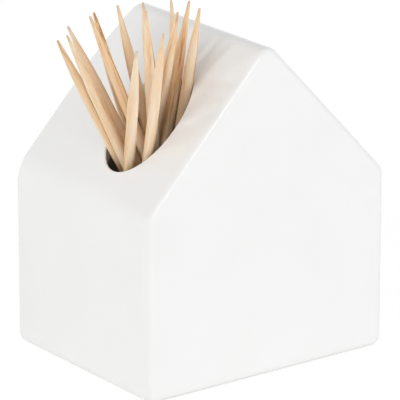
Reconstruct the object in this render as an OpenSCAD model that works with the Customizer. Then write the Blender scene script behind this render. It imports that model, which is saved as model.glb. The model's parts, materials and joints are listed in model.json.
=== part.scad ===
// Porcelain toothpick holder in the shape of a gabled house, with its toothpicks.
// X runs across the gables, Y along the ridge and Z up. The front gable faces -Y.
// The origin is the centre of the flat base, on the surface that the holder stands on.

/* [House] */
// Width across a gable
body_w = 50; // [47:0.5:54]
// Depth along the ridge
body_d = 39; // [38:0.5:41]
// Height at which the planes of wall and roof meet
eave_h = 32; // [31:0.5:34]
// Height at which the two roof planes meet
ridge_h = 58.5; // [57:0.5:60]
// Thickness of the cast wall
wall_t = 3; // [2.5:0.1:3.5]
// Thickness of the cast floor
floor_t = 4; // [3:0.1:5]

/* [Rounding] */
// Radius along the eaves
eave_r = 8.2; // [6:0.1:11]
// Radius along the ridge
ridge_r = 2.6; // [2:0.1:5]
// Radius along the two long bottom edges
foot_r = 1.9; // [1.4:0.1:3]
// Radius round the rim of each gable
gable_r = 1.3; // [0.8:0.1:1.8]
// Radius of every corner inside the casting
cavity_r = 3; // [2:0.1:4]

/* [Mouth] */
// Diameter of the round mouth, seen from above
mouth_d = 14.6; // [14.2:0.1:16]
// Distance of the mouth's centre from the outside of the left wall
mouth_from_wall = 11.7; // [11:0.1:12.5]
// Distance of the mouth's centre from the front gable
mouth_from_gable = 15.5; // [14:0.1:17]

/* [Toothpicks] */
// Length of a toothpick
pick_l = 65; // [60:0.5:68]
// Diameter of a toothpick
pick_d = 1.9; // [1.7:0.05:2]
// Length of each tapered point
point_l = 15; // [13:0.5:18]
// Diameter of the blunt end of a point
tip_d = 0.4; // [0.3:0.05:0.6]
// Clearance between a toothpick's lower end and the floor
pick_seat = 0.3; // [0.2:0.05:0.4]
// Clearance between the outermost toothpicks and the mouth
mouth_gap = 0.3; // [0.2:0.05:0.5]

/* [Hidden] */
// Slope of the roof, and the same casting one wall further in
pitch = atan((ridge_h - eave_h) / (body_w / 2));
inner_w = body_w - 2 * wall_t;
inner_d = body_d - 2 * wall_t;
inner_eave_h = eave_h - wall_t * tan((90 - pitch) / 2);
inner_ridge_h = ridge_h - wall_t / cos(pitch);

// Centre of the mouth, and how far beyond the roof its cutter runs
mouth_x = mouth_from_wall - body_w / 2;
mouth_y = mouth_from_gable - body_d / 2;
overrun = 2;

// Each row is one toothpick, in the order of their tips from left to right. The first pair
// is where it stands, as shares of the half sides of the flat floor. The second pair is where
// it passes the roof, as shares of the circle that its axis keeps to inside the mouth.
pick_shares = [
    [[ 0.10,  0.20], [-0.85,  0.55]],
    [[ 0.15, -0.05], [-0.55,  0.50]],
    [[ 0.00,  0.05], [-0.85,  0.20]],
    [[ 0.05, -0.20], [-0.40,  0.05]],
    [[ 0.10,  0.60], [-0.20,  0.90]],
    [[ 0.15,  0.50], [ 0.15,  0.60]],
    [[-0.50,  0.80], [-0.95, -0.35]],
    [[ 0.15,  0.80], [ 0.50,  0.55]],
    [[-0.35,  0.10], [-0.35, -0.65]],
    [[-0.55,  0.50], [-0.60, -0.80]],
    [[ 0.20,  0.55], [ 0.85, -0.10]],
    [[-0.40,  0.90], [ 0.25, -0.15]],
    [[-0.35,  0.70], [ 0.60, -0.30]],
    [[-0.20,  0.65], [ 0.75, -0.70]],
];
foot_reach_x = inner_w / 2 - cavity_r;
foot_reach_y = inner_d / 2 - cavity_r;
rim_reach = (mouth_d - pick_d) / 2 - mouth_gap;
tip_r = tip_d / 2;

// Straight pieces in each curve
corner_steps = 6;
point_steps = 6;
dome_steps = 3;

function pick_name(i) = str("toothpick_", i < 9 ? "0" : "", i + 1);

// Height of the left roof slope at a place across the house
function roof_z(x) = eave_h + (x + body_w / 2) * tan(pitch);

// Where a toothpick stands: the centre of its rounded lower end
function foot_of(row) =
    [row[0].x * foot_reach_x, row[0].y * foot_reach_y, floor_t + pick_seat + tip_r];

// Where a toothpick's axis passes the plane of the roof
function rim_of(row) =
    let (x = mouth_x + row[1].x * rim_reach)
    [x, mouth_y + row[1].y * rim_reach, roof_z(x)];

// Direction of a toothpick's axis, upwards
function lean_of(row) = let (run = rim_of(row) - foot_of(row)) run / norm(run);

// Profile of a point: a rounded end that swells to the full radius in a quarter sine
function point_profile() = concat(
    [for (k = [0 : dome_steps - 1])
        let (a = 90 * k / dome_steps) [tip_r * sin(a), -tip_r * cos(a)]],
    [for (k = [0 : point_steps])
        let (f = k / point_steps) [tip_r + (pick_d / 2 - tip_r) * sin(90 * f), point_l * f]]);

// A disc lying along Y whose two rims are rounded, by no more than its own radius
module corner(r, depth, edge) {
    rim = min(edge, r);
    rotate([90, 0, 0])
        rotate_extrude($fn = 48)
            polygon(concat(
                [[0, -depth / 2]],
                [for (k = [0 : corner_steps])
                    let (a = 90 * k / corner_steps)
                    [r - rim + rim * sin(a), -depth / 2 + rim - rim * cos(a)]],
                [for (k = [0 : corner_steps])
                    let (a = 90 * k / corner_steps)
                    [r - rim + rim * cos(a), depth / 2 - rim + rim * sin(a)]],
                [[0, depth / 2]]));
}

// The form of the house from its base to its ridge, with rounded edges
module house(w, d, base, eave, ridge, low_r, side_r, top_r, rim) {
    hull() {
        for (side = [-1, 1]) {
            translate([side * (w / 2 - low_r), 0, base + low_r])
                corner(low_r, d, rim);
            translate([side * (w / 2 - side_r), 0, eave - side_r * tan((90 - pitch) / 2)])
                corner(side_r, d, rim);
        }
        translate([0, 0, ridge - top_r / cos(pitch)])
            corner(top_r, d, rim);
    }
}

// The casting: one hollow piece with a closed floor and a mouth cut straight down
module house_body() {
    color([0.96, 0.96, 0.95])
        difference() {
            house(body_w, body_d, 0, eave_h, ridge_h, foot_r, eave_r, ridge_r, gable_r);
            house(inner_w, inner_d, floor_t, inner_eave_h, inner_ridge_h,
                cavity_r, cavity_r, cavity_r, cavity_r);
            translate([mouth_x, mouth_y, inner_eave_h - cavity_r])
                cylinder(h = ridge_h + overrun - inner_eave_h + cavity_r, d = mouth_d, $fn = 96);
        }
}

// One turned stick with a point at both ends, leaning on the rim of the mouth
module toothpick(row) {
    lean = lean_of(row);
    point = point_profile();
    last = len(point) - 1;
    color([0.87, 0.76, 0.58])
        translate(foot_of(row))
            rotate([0, acos(lean.z), atan2(lean.y, lean.x)])
                rotate_extrude($fn = 24)
                    polygon(concat(
                        point,
                        [for (k = [last : -1 : 0])
                            [point[k].x, pick_l - tip_d - point[k].y]]));
}

house_body();
for (i = [0 : len(pick_shares) - 1])
    toothpick(pick_shares[i]);
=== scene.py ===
import json
import math
import random

import bmesh
import bpy
from mathutils import Matrix, Quaternion, Vector


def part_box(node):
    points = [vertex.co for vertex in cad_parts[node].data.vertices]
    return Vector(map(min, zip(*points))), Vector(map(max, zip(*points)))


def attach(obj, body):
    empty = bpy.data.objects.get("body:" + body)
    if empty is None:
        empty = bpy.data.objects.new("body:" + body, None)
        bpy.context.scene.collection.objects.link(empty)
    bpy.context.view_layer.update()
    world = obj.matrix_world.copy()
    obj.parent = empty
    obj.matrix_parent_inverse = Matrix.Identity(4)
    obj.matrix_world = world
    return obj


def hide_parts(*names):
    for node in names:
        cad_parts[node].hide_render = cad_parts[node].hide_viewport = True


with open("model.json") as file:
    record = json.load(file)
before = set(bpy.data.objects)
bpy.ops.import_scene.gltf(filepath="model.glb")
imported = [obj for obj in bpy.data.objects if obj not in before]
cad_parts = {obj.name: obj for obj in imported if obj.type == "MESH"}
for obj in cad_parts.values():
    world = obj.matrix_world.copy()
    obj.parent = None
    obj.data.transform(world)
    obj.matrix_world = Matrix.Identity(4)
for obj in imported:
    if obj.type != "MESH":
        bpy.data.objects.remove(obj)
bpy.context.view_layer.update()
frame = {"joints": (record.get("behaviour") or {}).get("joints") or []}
scene = bpy.context.scene


# ---- Camera ----
# A long lens looks down on the corner between the left wall and the front gable.
# Its place and lens were fitted to the house's corners, ridge and mouth.
view_azimuth = math.radians(-36.46)
view_elevation = math.radians(18.04)
view_distance = 0.6335
view_target = Vector((0.00461, 0.00613, 0.02355))
view_back = Vector((
    math.sin(view_azimuth) * math.cos(view_elevation),
    -math.cos(view_azimuth) * math.cos(view_elevation),
    math.sin(view_elevation),
))
lens_data = bpy.data.cameras.new("product_camera")
lens_data.sensor_width = 36
lens_data.lens = 328.8
lens_data.clip_start = 0.01
lens_data.clip_end = 20
camera = bpy.data.objects.new("product_camera", lens_data)
camera.rotation_mode = "QUATERNION"
camera.rotation_quaternion = view_back.to_track_quat("Z", "Y")
camera.location = view_target + view_back * view_distance
scene.collection.objects.link(camera)
scene.camera = camera


# ---- Porcelain house ----
# One slip-cast block in the shape of a gabled house, hollow and open only at the round
# mouth in its left roof slope. White porcelain under a clear glaze that softens every edge.
# The flat base that stood on the kiln shelf is left unglazed.
house_width = 0.050
house_depth = 0.039
eave_height = 0.032
ridge_height = 0.0585
cast_wall = 0.003
cast_floor = 0.004
eave_radius = 0.0082
front_eave_radius = 0.003
crisp_eave_share = 0.5
ridge_radius = 0.0026
foot_radius = 0.0019
gable_rim = 0.0013
cavity_radius = 0.003
mouth_radius = 0.0073
mouth_x = 0.0117 - house_width / 2
mouth_y = 0.0155 - house_depth / 2
mouth_lip = 0.0003
cavity_lip = 0.0005
face_swell = 0.00004
sponged_from = 0.047
sponged_off = 0.0032
glaze_line = 0.0003
roof_pitch = math.atan2(ridge_height - eave_height, house_width / 2)
roof_normal = Vector((-math.sin(roof_pitch), 0, math.cos(roof_pitch)))
# rows of points along each straight run, round each curve and over the rim of a gable
straight_steps = 30
curve_steps = 12
rim_steps = 8


def eased(steps):
    """Shares from 0 to 1 that lie closer together near both ends."""
    return [0.5 - 0.5 * math.cos(math.pi * k / steps) for k in range(steps + 1)]


def gable_outline(width, floor, eave, ridge, low_radius, side_radius, top_radius):
    """Points and outward normals once round a gable, starting up the left roof slope."""
    corners = [
        (Vector((-width / 2, eave)), side_radius),
        (Vector((0, ridge)), top_radius),
        (Vector((width / 2, eave)), side_radius),
        (Vector((width / 2, floor)), low_radius),
        (Vector((-width / 2, floor)), low_radius),
    ]
    count = len(corners)
    normals = []
    for k in range(count):
        edge = (corners[(k + 1) % count][0] - corners[k][0]).normalized()
        normals.append(Vector((-edge.y, edge.x)))

    def arc_centre(k):
        before, after = normals[k - 1], normals[k]
        corner, radius = corners[k]
        return corner - (before + after) * radius / (1 + before.dot(after))

    points = []
    for k in range(count):
        following = (k + 1) % count
        start = arc_centre(k) + normals[k] * corners[k][1]
        end = arc_centre(following) + normals[k] * corners[following][1]
        for share in eased(straight_steps):
            points.append((start.lerp(end, share), normals[k]))
        turn = normals[k].angle_signed(normals[following])
        for step in range(1, curve_steps):
            a = -turn * step / curve_steps
            n = normals[k]
            leaning = Vector((
                n.x * math.cos(a) - n.y * math.sin(a), n.x * math.sin(a) + n.y * math.cos(a)
            ))
            points.append((arc_centre(following) + leaning * corners[following][1], leaning))
    return points


def shell(verts, faces, outline_at, depth, rim, rings):
    """One closed skin of the house, less its left roof slope, whose border is returned."""
    rows = []
    for k in range(rim_steps + 1):
        a = math.pi / 2 * k / rim_steps
        rows.append((rim - rim * math.sin(a), -depth / 2 + rim - rim * math.cos(a)))
    straight = depth / 2 - rim
    for share in eased(straight_steps)[1:-1]:
        rows.append((0, -straight + 2 * straight * share))
    for k in range(rim_steps + 1):
        a = math.pi / 2 * k / rim_steps
        rows.append((rim - rim * math.cos(a), depth / 2 - rim + rim * math.sin(a)))
    index = []
    first_row, last_row = rim_steps, len(rows) - 1 - rim_steps
    for j, (inset, y) in enumerate(rows):
        line = []
        outline = outline_at(y / depth + 0.5)
        count = len(outline)
        for i, (point, normal) in enumerate(outline):
            if first_row < j < last_row and 0 < i < straight_steps:
                line.append(None)
                continue
            line.append(len(verts))
            at = point - normal * inset
            verts.append(Vector((at.x, y, at.y)))
        index.append(line)
    for j in range(len(rows) - 1):
        for i in range(count):
            if first_row <= j < last_row and i < straight_steps:
                continue
            following = (i + 1) % count
            faces.append((index[j][i], index[j][following],
                          index[j + 1][following], index[j + 1][i]))
    # each gable is closed by rings of its outline, closest at the rim, that shrink to its middle
    for j in (0, len(rows) - 1):
        border = index[j]
        middle = sum((verts[v] for v in border), Vector()) / count
        previous = border
        for ring in range(1, rings):
            share = (ring / rings) ** 1.6
            line = []
            for v in border:
                line.append(len(verts))
                verts.append(verts[v].lerp(middle, share))
            for i in range(count):
                following = (i + 1) % count
                faces.append((previous[i], previous[following], line[following], line[i]))
            previous = line
        hub = len(verts)
        verts.append(middle)
        for i in range(count):
            faces.append((previous[i], previous[(i + 1) % count], hub))
    border = [index[j][0] for j in range(first_row, last_row)]
    border += [index[last_row][i] for i in range(straight_steps)]
    border += [index[j][straight_steps] for j in range(last_row, first_row, -1)]
    border += [index[first_row][i] for i in range(straight_steps, 0, -1)]
    return border


def join(faces, outer, inner):
    """Faces between two rings that have the same number of points."""
    for i in range(len(outer)):
        following = (i + 1) % len(outer)
        faces.append((outer[i], outer[following], inner[following], inner[i]))


def bridge(verts, faces, previous, places):
    """Adds one ring of points inside the last one and joins the two with faces."""
    line = list(range(len(verts), len(verts) + len(places)))
    verts.extend(places)
    join(faces, previous, line)
    return line


def mouth_ring(angles, ball_radius, drop, toward):
    """A ring that a ball of that radius leaves as it rolls round the mouth in the clay."""
    places = []
    for angle in angles:
        out = Vector((math.cos(angle), math.sin(angle), 0))
        centre = Vector((mouth_x, mouth_y, 0)) + out * (mouth_radius + ball_radius)
        roof_height = eave_height + (centre.x + house_width / 2) * math.tan(roof_pitch)
        centre.z = roof_height - drop / math.cos(roof_pitch)
        places.append(centre + toward(out) * ball_radius)
    return places


def fired(point):
    """Where a point ends up: drying draws in the edges and leaves the faces a little full,
    and the back end of the ridge was sponged round while the clay was damp."""
    x = point.x / (house_width / 2)
    y = point.y / (house_depth / 2)
    z = point.z / ridge_height
    across, along, up = 1 - x * x, 1 - y * y, 1 - (2 * z - 1) ** 2
    high = max(point.z - sponged_from, 0) / (ridge_height - sponged_from)
    sponged = sponged_off * high ** 2 * max(y, 0) ** 8
    return point - Vector((0, sponged, 0)) - Vector((
        x * (1 - along * up), y * (1 - across * up), z * (1 - across * along)
    )) * face_swell


def outer_outline(share):
    """The eaves are crisp at the front gable and grow softer along the first half."""
    soft = min(share / crisp_eave_share, 1)
    soft = soft * soft * (3 - 2 * soft)
    return gable_outline(house_width, 0, eave_height, ridge_height, foot_radius,
                         front_eave_radius + (eave_radius - front_eave_radius) * soft,
                         ridge_radius)


verts, faces = [], []
outer_border = shell(verts, faces, outer_outline, house_depth, gable_rim, rings=18)
cavity_eave = eave_height - cast_wall * math.tan((math.pi / 2 - roof_pitch) / 2)
cavity_ridge = ridge_height - cast_wall / math.cos(roof_pitch)
inner_outline = gable_outline(house_width - 2 * cast_wall, cast_floor, cavity_eave,
                              cavity_ridge, cavity_radius, cavity_radius, cavity_radius)
inner_border = shell(verts, faces, lambda share: inner_outline,
                     house_depth - 2 * cast_wall, cavity_radius, rings=6)


def angles_of(border):
    """The direction of each point of a border, seen from the middle of the mouth."""
    return [math.atan2(verts[v].y - mouth_y, verts[v].x - mouth_x) for v in border]


outer_angles, inner_angles = angles_of(outer_border), angles_of(inner_border)
slope_rings, lip_rings, bore_rings, cavity_lip_rings = 16, 8, 5, 4
# the roof slope closes in on the mouth, then rolls over the lip into the straight bore
lip_edge = mouth_ring(outer_angles, mouth_lip, mouth_lip, lambda out: roof_normal)
ring = outer_border
border_places = [verts[v].copy() for v in outer_border]
for share in eased(slope_rings)[1:-1]:
    ring = bridge(verts, faces, ring,
                  [a.lerp(b, share) for a, b in zip(border_places, lip_edge)])
ring = bridge(verts, faces, ring, lip_edge)
for k in range(1, lip_rings + 1):
    ring = bridge(verts, faces, ring, mouth_ring(
        outer_angles, mouth_lip, mouth_lip,
        lambda out: roof_normal.slerp(-out, k / lip_rings)))
bore_top = [verts[v].copy() for v in ring]
bore_foot = mouth_ring(inner_angles, cavity_lip, cast_wall - cavity_lip, lambda out: -out)
for k in range(1, bore_rings):
    places = []
    for top, foot in zip(bore_top, bore_foot):
        place = top.lerp(foot, k / bore_rings)
        out = Vector((place.x - mouth_x, place.y - mouth_y, 0)).normalized()
        places.append(Vector((mouth_x, mouth_y, place.z)) + out * mouth_radius)
    ring = bridge(verts, faces, ring, places)
ring = bridge(verts, faces, ring, bore_foot)
# and opens into the cavity over a second, softer lip, along the underside of the slope
for k in range(1, cavity_lip_rings + 1):
    ring = bridge(verts, faces, ring, mouth_ring(
        inner_angles, cavity_lip, cast_wall - cavity_lip,
        lambda out: (-out).slerp(-roof_normal, k / cavity_lip_rings)))
inner_edge = [verts[v].copy() for v in ring]
border_places = [verts[v].copy() for v in inner_border]
for share in (0.25, 0.5, 0.75):
    ring = bridge(verts, faces, ring,
                  [a.lerp(b, share) for a, b in zip(inner_edge, border_places)])
join(faces, ring, inner_border)


def closed_mesh(name, verts, faces):
    """A smooth mesh whose faces all look outwards."""
    mesh = bpy.data.meshes.new(name)
    mesh.from_pydata([tuple(v) for v in verts], [], faces)
    work = bmesh.new()
    work.from_mesh(mesh)
    bmesh.ops.remove_doubles(work, verts=work.verts, dist=1e-8)
    bmesh.ops.recalc_face_normals(work, faces=work.faces)
    for face in work.faces:
        face.smooth = True
    work.to_mesh(mesh)
    work.free()
    return mesh


house_mesh = closed_mesh("porcelain_house", [fired(v) for v in verts], faces)
house = bpy.data.objects.new("porcelain_house", house_mesh)
scene.collection.objects.link(house)


def node_maker(tree):
    """A short way to add a node with some of its inputs or settings."""
    def node(kind, **values):
        made = tree.nodes.new(kind)
        for key, value in values.items():
            if key in made.inputs:
                made.inputs[key].default_value = value
            else:
                setattr(made, key, value)
        return made

    return node


def node_material(name):
    """A new material with its shader, and a short way to add and join nodes."""
    material = bpy.data.materials.new(name)
    material.use_nodes = True
    tree = material.node_tree
    return material, tree.nodes["Principled BSDF"], node_maker(tree), tree.links.new


def noise_of(node, wire, vector, scale, detail, roughness):
    """A smooth noise from 0 to 1 over the given coordinates."""
    noise = node("ShaderNodeTexNoise", Scale=scale, Detail=detail, Roughness=roughness)
    wire(vector, noise.inputs["Vector"])
    return noise.outputs["Fac"]


def color_over(node, wire, value, *stops):
    """A colour that follows a value through two or more stops."""
    ramp = node("ShaderNodeValToRGB")
    for place, _ in stops[1:-1]:
        ramp.color_ramp.elements.new(place)
    for element, (place, color) in zip(ramp.color_ramp.elements, stops):
        element.position = place
        element.color = (*color, 1)
    wire(value, ramp.inputs["Fac"])
    return ramp.outputs["Color"]


def between(node, wire, value, low, high):
    """The same value, spread from low to high instead of 0 to 1."""
    spread = node("ShaderNodeMapRange")
    spread.inputs["To Min"].default_value = low
    spread.inputs["To Max"].default_value = high
    wire(value, spread.inputs["Value"])
    return spread.outputs["Result"]


def relief(node, wire, height, strength, distance):
    """Small bumps as high as the distance where the height is 1."""
    bump = node("ShaderNodeBump", Strength=strength, Distance=distance)
    wire(height, bump.inputs["Height"])
    return bump


# The glaze: a white body under clear gloss, very slightly uneven where it flowed
glaze, shader, node, wire = node_material("white_glaze")
shader.inputs["IOR"].default_value = 1.5
where = node("ShaderNodeTexCoord").outputs["Object"]
drift = noise_of(node, wire, where, scale=90.0, detail=3.0, roughness=0.5)
flow = noise_of(node, wire, where, scale=160.0, detail=2.0, roughness=0.4)
peel = noise_of(node, wire, where, scale=1400.0, detail=1.0, roughness=0.4)
white_tone = color_over(
    node, wire, drift, (0.3, (0.922, 0.921, 0.917)), (0.7, (0.936, 0.936, 0.934)))
wire(white_tone, shader.inputs["Base Color"])
wire(between(node, wire, flow, low=0.05, high=0.12), shader.inputs["Roughness"])
flow_bump = relief(node, wire, flow, strength=0.25, distance=0.00006)
peel_bump = relief(node, wire, peel, strength=0.12, distance=0.000008)
wire(flow_bump.outputs["Normal"], peel_bump.inputs["Normal"])
wire(peel_bump.outputs["Normal"], shader.inputs["Normal"])
house_mesh.materials.append(glaze)

# The bare base: matt fired porcelain with a fine grain
bisque, shader, node, wire = node_material("bare_porcelain")
where = node("ShaderNodeTexCoord").outputs["Object"]
grit = noise_of(node, wire, where, scale=2600.0, detail=4.0, roughness=0.7)
bare_tone = color_over(node, wire, grit, (0.25, (0.83, 0.81, 0.77)), (0.75, (0.91, 0.90, 0.87)))
wire(bare_tone, shader.inputs["Base Color"])
wire(between(node, wire, grit, low=0.75, high=0.95), shader.inputs["Roughness"])
grit_bump = relief(node, wire, grit, strength=0.4, distance=0.00003)
wire(grit_bump.outputs["Normal"], shader.inputs["Normal"])
house_mesh.materials.append(bisque)
for face in house_mesh.polygons:
    if face.center.z < glaze_line:
        face.material_index = 1

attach(house, "holder")
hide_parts("house_body")


# ---- Toothpicks ----
# Round birch sticks, turned from a blank and pointed at both ends, so every one is a
# little out of round and its fibres run along it. They stand loose on the holder's
# floor and lean on the mouth, and each is lifted out along its own axis.
stick_length = 0.065
stick_radius = 0.00095
point_length = 0.015
tip_radius = 0.0002
worn_length = 0.002
# points round a stick, and rows of them over its rounded end, its point and half its shaft
stick_sides = 24
dome_rows, point_rows, shaft_rows = 3, 18, 10
# how fast the thickness, the grooves and the facets change along it, in radians per metre
thickness_wave, groove_wave, facet_twist = 190, 260, 60


def stick_radius_at(s):
    """Radius at a distance from the nearer end of the stick."""
    if s < tip_radius:
        return math.sqrt(max(tip_radius ** 2 - (tip_radius - s) ** 2, 0))
    share = min((s - tip_radius) / point_length, 1)
    return tip_radius + (stick_radius - tip_radius) * math.sin(math.pi / 2 * share)


def stick_mesh(name, seed, place):
    """One turned stick where it stands. Its own coordinates stay with it for the grain."""
    rng = random.Random(seed)
    stations = [tip_radius * (1 - math.cos(math.pi / 2 * k / dome_rows))
                for k in range(1, dome_rows + 1)]
    stations += [tip_radius + point_length * (k / point_rows) ** 1.15
                 for k in range(1, point_rows + 1)]
    middle = stick_length / 2
    first = stations[-1]
    stations += [first + (middle - first) * k / shaft_rows for k in range(1, shaft_rows + 1)]
    heights = stations + [stick_length - s for s in reversed(stations[:-1])]
    # how far this stick is out of round, bent, grooved by its grain and uneven in thickness
    oval, facets = rng.uniform(0.01, 0.035), rng.choice((5, 6, 7))
    oval_turn, facet_turn = rng.uniform(0, math.tau), rng.uniform(0, math.tau)
    bow, bow_turn = rng.uniform(0.01, 0.05) * 0.001, rng.uniform(0, math.tau)
    stray = [(rng.uniform(0, 0.00007), rng.uniform(0, math.tau)) for _ in range(2)]
    groove = [rng.uniform(0, 0.018) for _ in range(stick_sides)]
    thick_turn, groove_turn = rng.uniform(0, math.tau), rng.uniform(0, math.tau)
    verts = [Vector((0, 0, -middle))]
    faces = []
    rows = []
    for s in heights:
        z = s - middle
        near = min(s, stick_length - s)
        radius = stick_radius_at(near)
        radius *= 1 - 0.012 * (0.5 + 0.5 * math.sin(z * thickness_wave + thick_turn))
        reach = abs(z) / middle
        side = stray[0] if z < 0 else stray[1]
        shift = Vector((math.cos(bow_turn), math.sin(bow_turn), 0)) * bow * (1 - reach ** 2)
        shift += Vector((math.cos(side[1]), math.sin(side[1]), 0)) * side[0] * reach ** 6
        row = []
        for k in range(stick_sides):
            a = math.tau * k / stick_sides
            trim = 1 - oval * (0.5 + 0.5 * math.cos(2 * (a - oval_turn)))
            trim -= 0.008 * (1 + math.cos(facets * (a - facet_turn) + z * facet_twist))
            trim -= groove[k] * (0.6 + 0.4 * math.sin(z * groove_wave + groove_turn + k))
            row.append(len(verts))
            verts.append(Vector((
                math.cos(a) * radius * trim, math.sin(a) * radius * trim, z)) + shift)
        rows.append(row)
    verts.append(Vector((0, 0, middle)))
    for k in range(stick_sides):
        following = (k + 1) % stick_sides
        faces.append((0, rows[0][following], rows[0][k]))
        faces.append((len(verts) - 1, rows[-1][k], rows[-1][following]))
        for low, high in zip(rows, rows[1:]):
            faces.append((low[k], low[following], high[following], high[k]))
    mesh = closed_mesh(name, verts, faces)
    along = mesh.attributes.new("along_stick", "FLOAT_VECTOR", "POINT")
    for vertex, kept in zip(mesh.vertices, along.data):
        kept.vector = vertex.co
    mesh.transform(place)
    return mesh


def birch_material(name, seed):
    """Pale birch: long fine fibres, broad darker streaks, and a tone of its own."""
    rng = random.Random(seed)
    material, shader, node, wire = node_material(name)
    shader.inputs["IOR"].default_value = 1.45
    shader.inputs["Specular IOR Level"].default_value = 0.12
    shader.inputs["Subsurface Weight"].default_value = 0.35
    shader.inputs["Subsurface Radius"].default_value = (1.0, 0.45, 0.2)
    shader.inputs["Subsurface Scale"].default_value = 0.0006
    where = node("ShaderNodeAttribute", attribute_name="along_stick").outputs["Vector"]

    def streaks(across, along, detail):
        place = node("ShaderNodeMapping")
        place.inputs["Location"].default_value = [rng.uniform(0, 40) for _ in range(3)]
        place.inputs["Scale"].default_value = (across, across, along)
        wire(where, place.inputs["Vector"])
        return noise_of(node, wire, place.outputs["Vector"],
                        scale=1.0, detail=detail, roughness=0.55)

    fibre = streaks(across=4200, along=150, detail=4.0)
    broad = streaks(across=900, along=42, detail=2.0)
    mixed = node("ShaderNodeMix", data_type="FLOAT")
    mixed.inputs["Factor"].default_value = 0.62
    wire(fibre, mixed.inputs["A"])
    wire(broad, mixed.inputs["B"])
    tone, warm = rng.uniform(-1, 1), rng.uniform(-1, 1)

    def toned(red, green, blue):
        return (red + 0.012 * tone, green + 0.022 * tone - 0.004 * warm,
                blue + 0.025 * tone - 0.008 * warm)

    dark_grain, plain_wood, pale_wood = (
        toned(0.520, 0.225, 0.070), toned(0.900, 0.650, 0.400), toned(0.950, 0.785, 0.605))
    wood = color_over(node, wire, mixed.outputs["Result"],
                      (0.32, dark_grain), (0.44, plain_wood), (0.58, pale_wood))
    # the last of each point is bruised fibre, a little darker
    apart = node("ShaderNodeSeparateXYZ")
    wire(where, apart.inputs["Vector"])
    reach = node("ShaderNodeMath", operation="ABSOLUTE")
    wire(apart.outputs["Z"], reach.inputs[0])
    worn = node("ShaderNodeMapRange")
    worn.inputs["From Min"].default_value = stick_length / 2 - worn_length
    worn.inputs["From Max"].default_value = stick_length / 2
    worn.inputs["To Max"].default_value = 0.4
    wire(reach.outputs["Value"], worn.inputs["Value"])
    ended = node("ShaderNodeMix", data_type="RGBA")
    wire(worn.outputs["Result"], ended.inputs["Factor"])
    wire(wood, ended.inputs["A"])
    ended.inputs["B"].default_value = (0.42, 0.31, 0.21, 1)
    wire(ended.outputs["Result"], shader.inputs["Base Color"])
    wire(between(node, wire, fibre, low=0.5, high=0.75), shader.inputs["Roughness"])
    fibre_bump = relief(node, wire, fibre, strength=0.5, distance=0.00002)
    wire(fibre_bump.outputs["Normal"], shader.inputs["Normal"])
    return material


for number, joint in enumerate(frame["joints"], 1):
    node_name = joint["child"]
    low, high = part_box(node_name)
    upright = Vector(joint["axis"]).to_track_quat("Z", "Y")
    turned = upright @ Quaternion((0, 0, 1), random.Random(500 + number).uniform(0, math.tau))
    place = Matrix.LocRotScale((low + high) / 2, turned, None)
    mesh = stick_mesh(f"birch_{node_name}", 100 + number, place)
    mesh.materials.append(birch_material(f"birch_{number:02d}", 300 + number))
    stick = bpy.data.objects.new(f"birch_{node_name}", mesh)
    scene.collection.objects.link(stick)
    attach(stick, node_name)
    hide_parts(node_name)


# ---- Floor ----
# A white sweep of studio paper under and far behind the holder. It shows as white to the
# camera and in the glaze, and keeps the holder's soft shadow.
paper_reach, paper_rise, paper_bend, paper_side, bend_steps = 1.6, 1.4, 0.35, 2.4, 12
paper_below = 0.00003
floor_mesh = bpy.data.meshes.new("paper_sweep")
profile = [(-paper_reach, 0.0)]
for k in range(bend_steps + 1):
    a = math.pi / 2 * k / bend_steps
    profile.append((paper_reach - paper_bend + paper_bend * math.sin(a),
                    paper_bend - paper_bend * math.cos(a)))
profile.append((paper_reach, paper_rise))
sweep_verts, sweep_faces = [], []
for y, z in profile:
    sweep_verts += [(-paper_side, y, z), (paper_side, y, z)]
for k in range(len(profile) - 1):
    sweep_faces.append((2 * k, 2 * k + 1, 2 * k + 3, 2 * k + 2))
floor_mesh.from_pydata(sweep_verts, [], sweep_faces)
for face in floor_mesh.polygons:
    face.use_smooth = True
floor = bpy.data.objects.new("paper_sweep", floor_mesh)
scene.collection.objects.link(floor)
# the sweep rises behind the holder as the camera sees it, a hair below the bare base
floor.rotation_euler = (0, 0, view_azimuth)
floor.location.z = -paper_below
paper, shader, node, wire = node_material("white_paper")
shader.inputs["Base Color"].default_value = (0.95, 0.95, 0.95, 1)
shader.inputs["Roughness"].default_value = 0.9


def looking_rays(node, wire):
    """1 for what the camera, the glaze or a clear piece sees, 0 for light on its way."""
    rays = node("ShaderNodeLightPath")
    either = node("ShaderNodeMath", operation="MAXIMUM")
    wire(rays.outputs["Is Camera Ray"], either.inputs[0])
    wire(rays.outputs["Is Glossy Ray"], either.inputs[1])
    any_ray = node("ShaderNodeMath", operation="MAXIMUM")
    wire(either.outputs[0], any_ray.inputs[0])
    wire(rays.outputs["Is Transmission Ray"], any_ray.inputs[1])
    return any_ray.outputs[0]


glow = node("ShaderNodeEmission", Strength=1.13)
seen = node("ShaderNodeMixShader")
glow_share = node("ShaderNodeMath", operation="MULTIPLY")
glow_share.inputs[1].default_value = 0.75
wire(looking_rays(node, wire), glow_share.inputs[0])
wire(glow_share.outputs[0], seen.inputs["Fac"])
wire(shader.outputs[0], seen.inputs[1])
wire(glow.outputs[0], seen.inputs[2])
wire(seen.outputs[0], paper.node_tree.nodes["Material Output"].inputs["Surface"])
floor_mesh.materials.append(paper)


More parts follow.
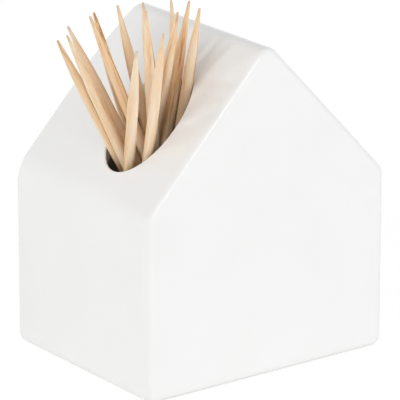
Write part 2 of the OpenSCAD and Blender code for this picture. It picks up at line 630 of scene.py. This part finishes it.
# ---- Light ----
# A bright even studio. Three soft boxes stand round the left wall and roof, and the largest
# is in front of the gable, which is the brightest face. A small one high above the lens
# draws the thin bright line down the rim of the gable.
world = bpy.data.worlds.new("studio")
scene.world = world
world.use_nodes = True
tree = world.node_tree
node, wire = node_maker(tree), tree.links.new
around = tree.nodes["Background"]
around.inputs["Color"].default_value = (1, 1, 1, 1)
around.inputs["Strength"].default_value = 0.495
# what is seen straight, or in the glaze, is pure white
white = node("ShaderNodeBackground", Color=(1, 1, 1, 1), Strength=1.0)
chosen = node("ShaderNodeMixShader")
wire(looking_rays(node, wire), chosen.inputs["Fac"])
wire(around.outputs[0], chosen.inputs[1])
wire(white.outputs[0], chosen.inputs[2])
wire(chosen.outputs[0], tree.nodes["World Output"].inputs["Surface"])

house_middle = Vector((0, 0, 0.03))


def soft_box(name, azimuth, elevation, distance, size, power, color):
    """A soft box aimed at the middle of the holder, its azimuth counted from the front.
    Angles are in degrees, lengths in metres and power in watts."""
    a, e = math.radians(azimuth), math.radians(elevation)
    toward = Vector((math.sin(a) * math.cos(e), -math.cos(a) * math.cos(e), math.sin(e)))
    lamp = bpy.data.lights.new(name, "AREA")
    lamp.size = size
    lamp.energy = power
    lamp.color = color
    box = bpy.data.objects.new(name, lamp)
    box.location = house_middle + toward * distance
    box.rotation_mode = "QUATERNION"
    box.rotation_quaternion = toward.to_track_quat("Z", "Y")
    scene.collection.objects.link(box)
    return box


diffuse_boxes = (
    soft_box("left_soft_box", -65, 8, 1.2, 0.3, 2.6, (1.0, 0.97, 0.92)),
    soft_box("high_left_soft_box", -75, 34, 1.2, 0.2, 1.65, (0.96, 0.983, 1.0)),
    soft_box("back_left_soft_box", -115, 28, 1.2, 0.2, 0.9, (0.96, 0.985, 1.0)),
    soft_box("front_soft_box", 36, 4, 1.0, 0.5, 4.6, (0.985, 1.0, 1.0)),
)
# these light the glaze without showing as bright patches in it
for box in diffuse_boxes:
    box.visible_glossy = False
soft_box("lens_soft_box", -33, 40, 1.2, 0.16, 0.6, (0.97, 0.99, 1.0))

scene.view_settings.view_transform = "Standard"
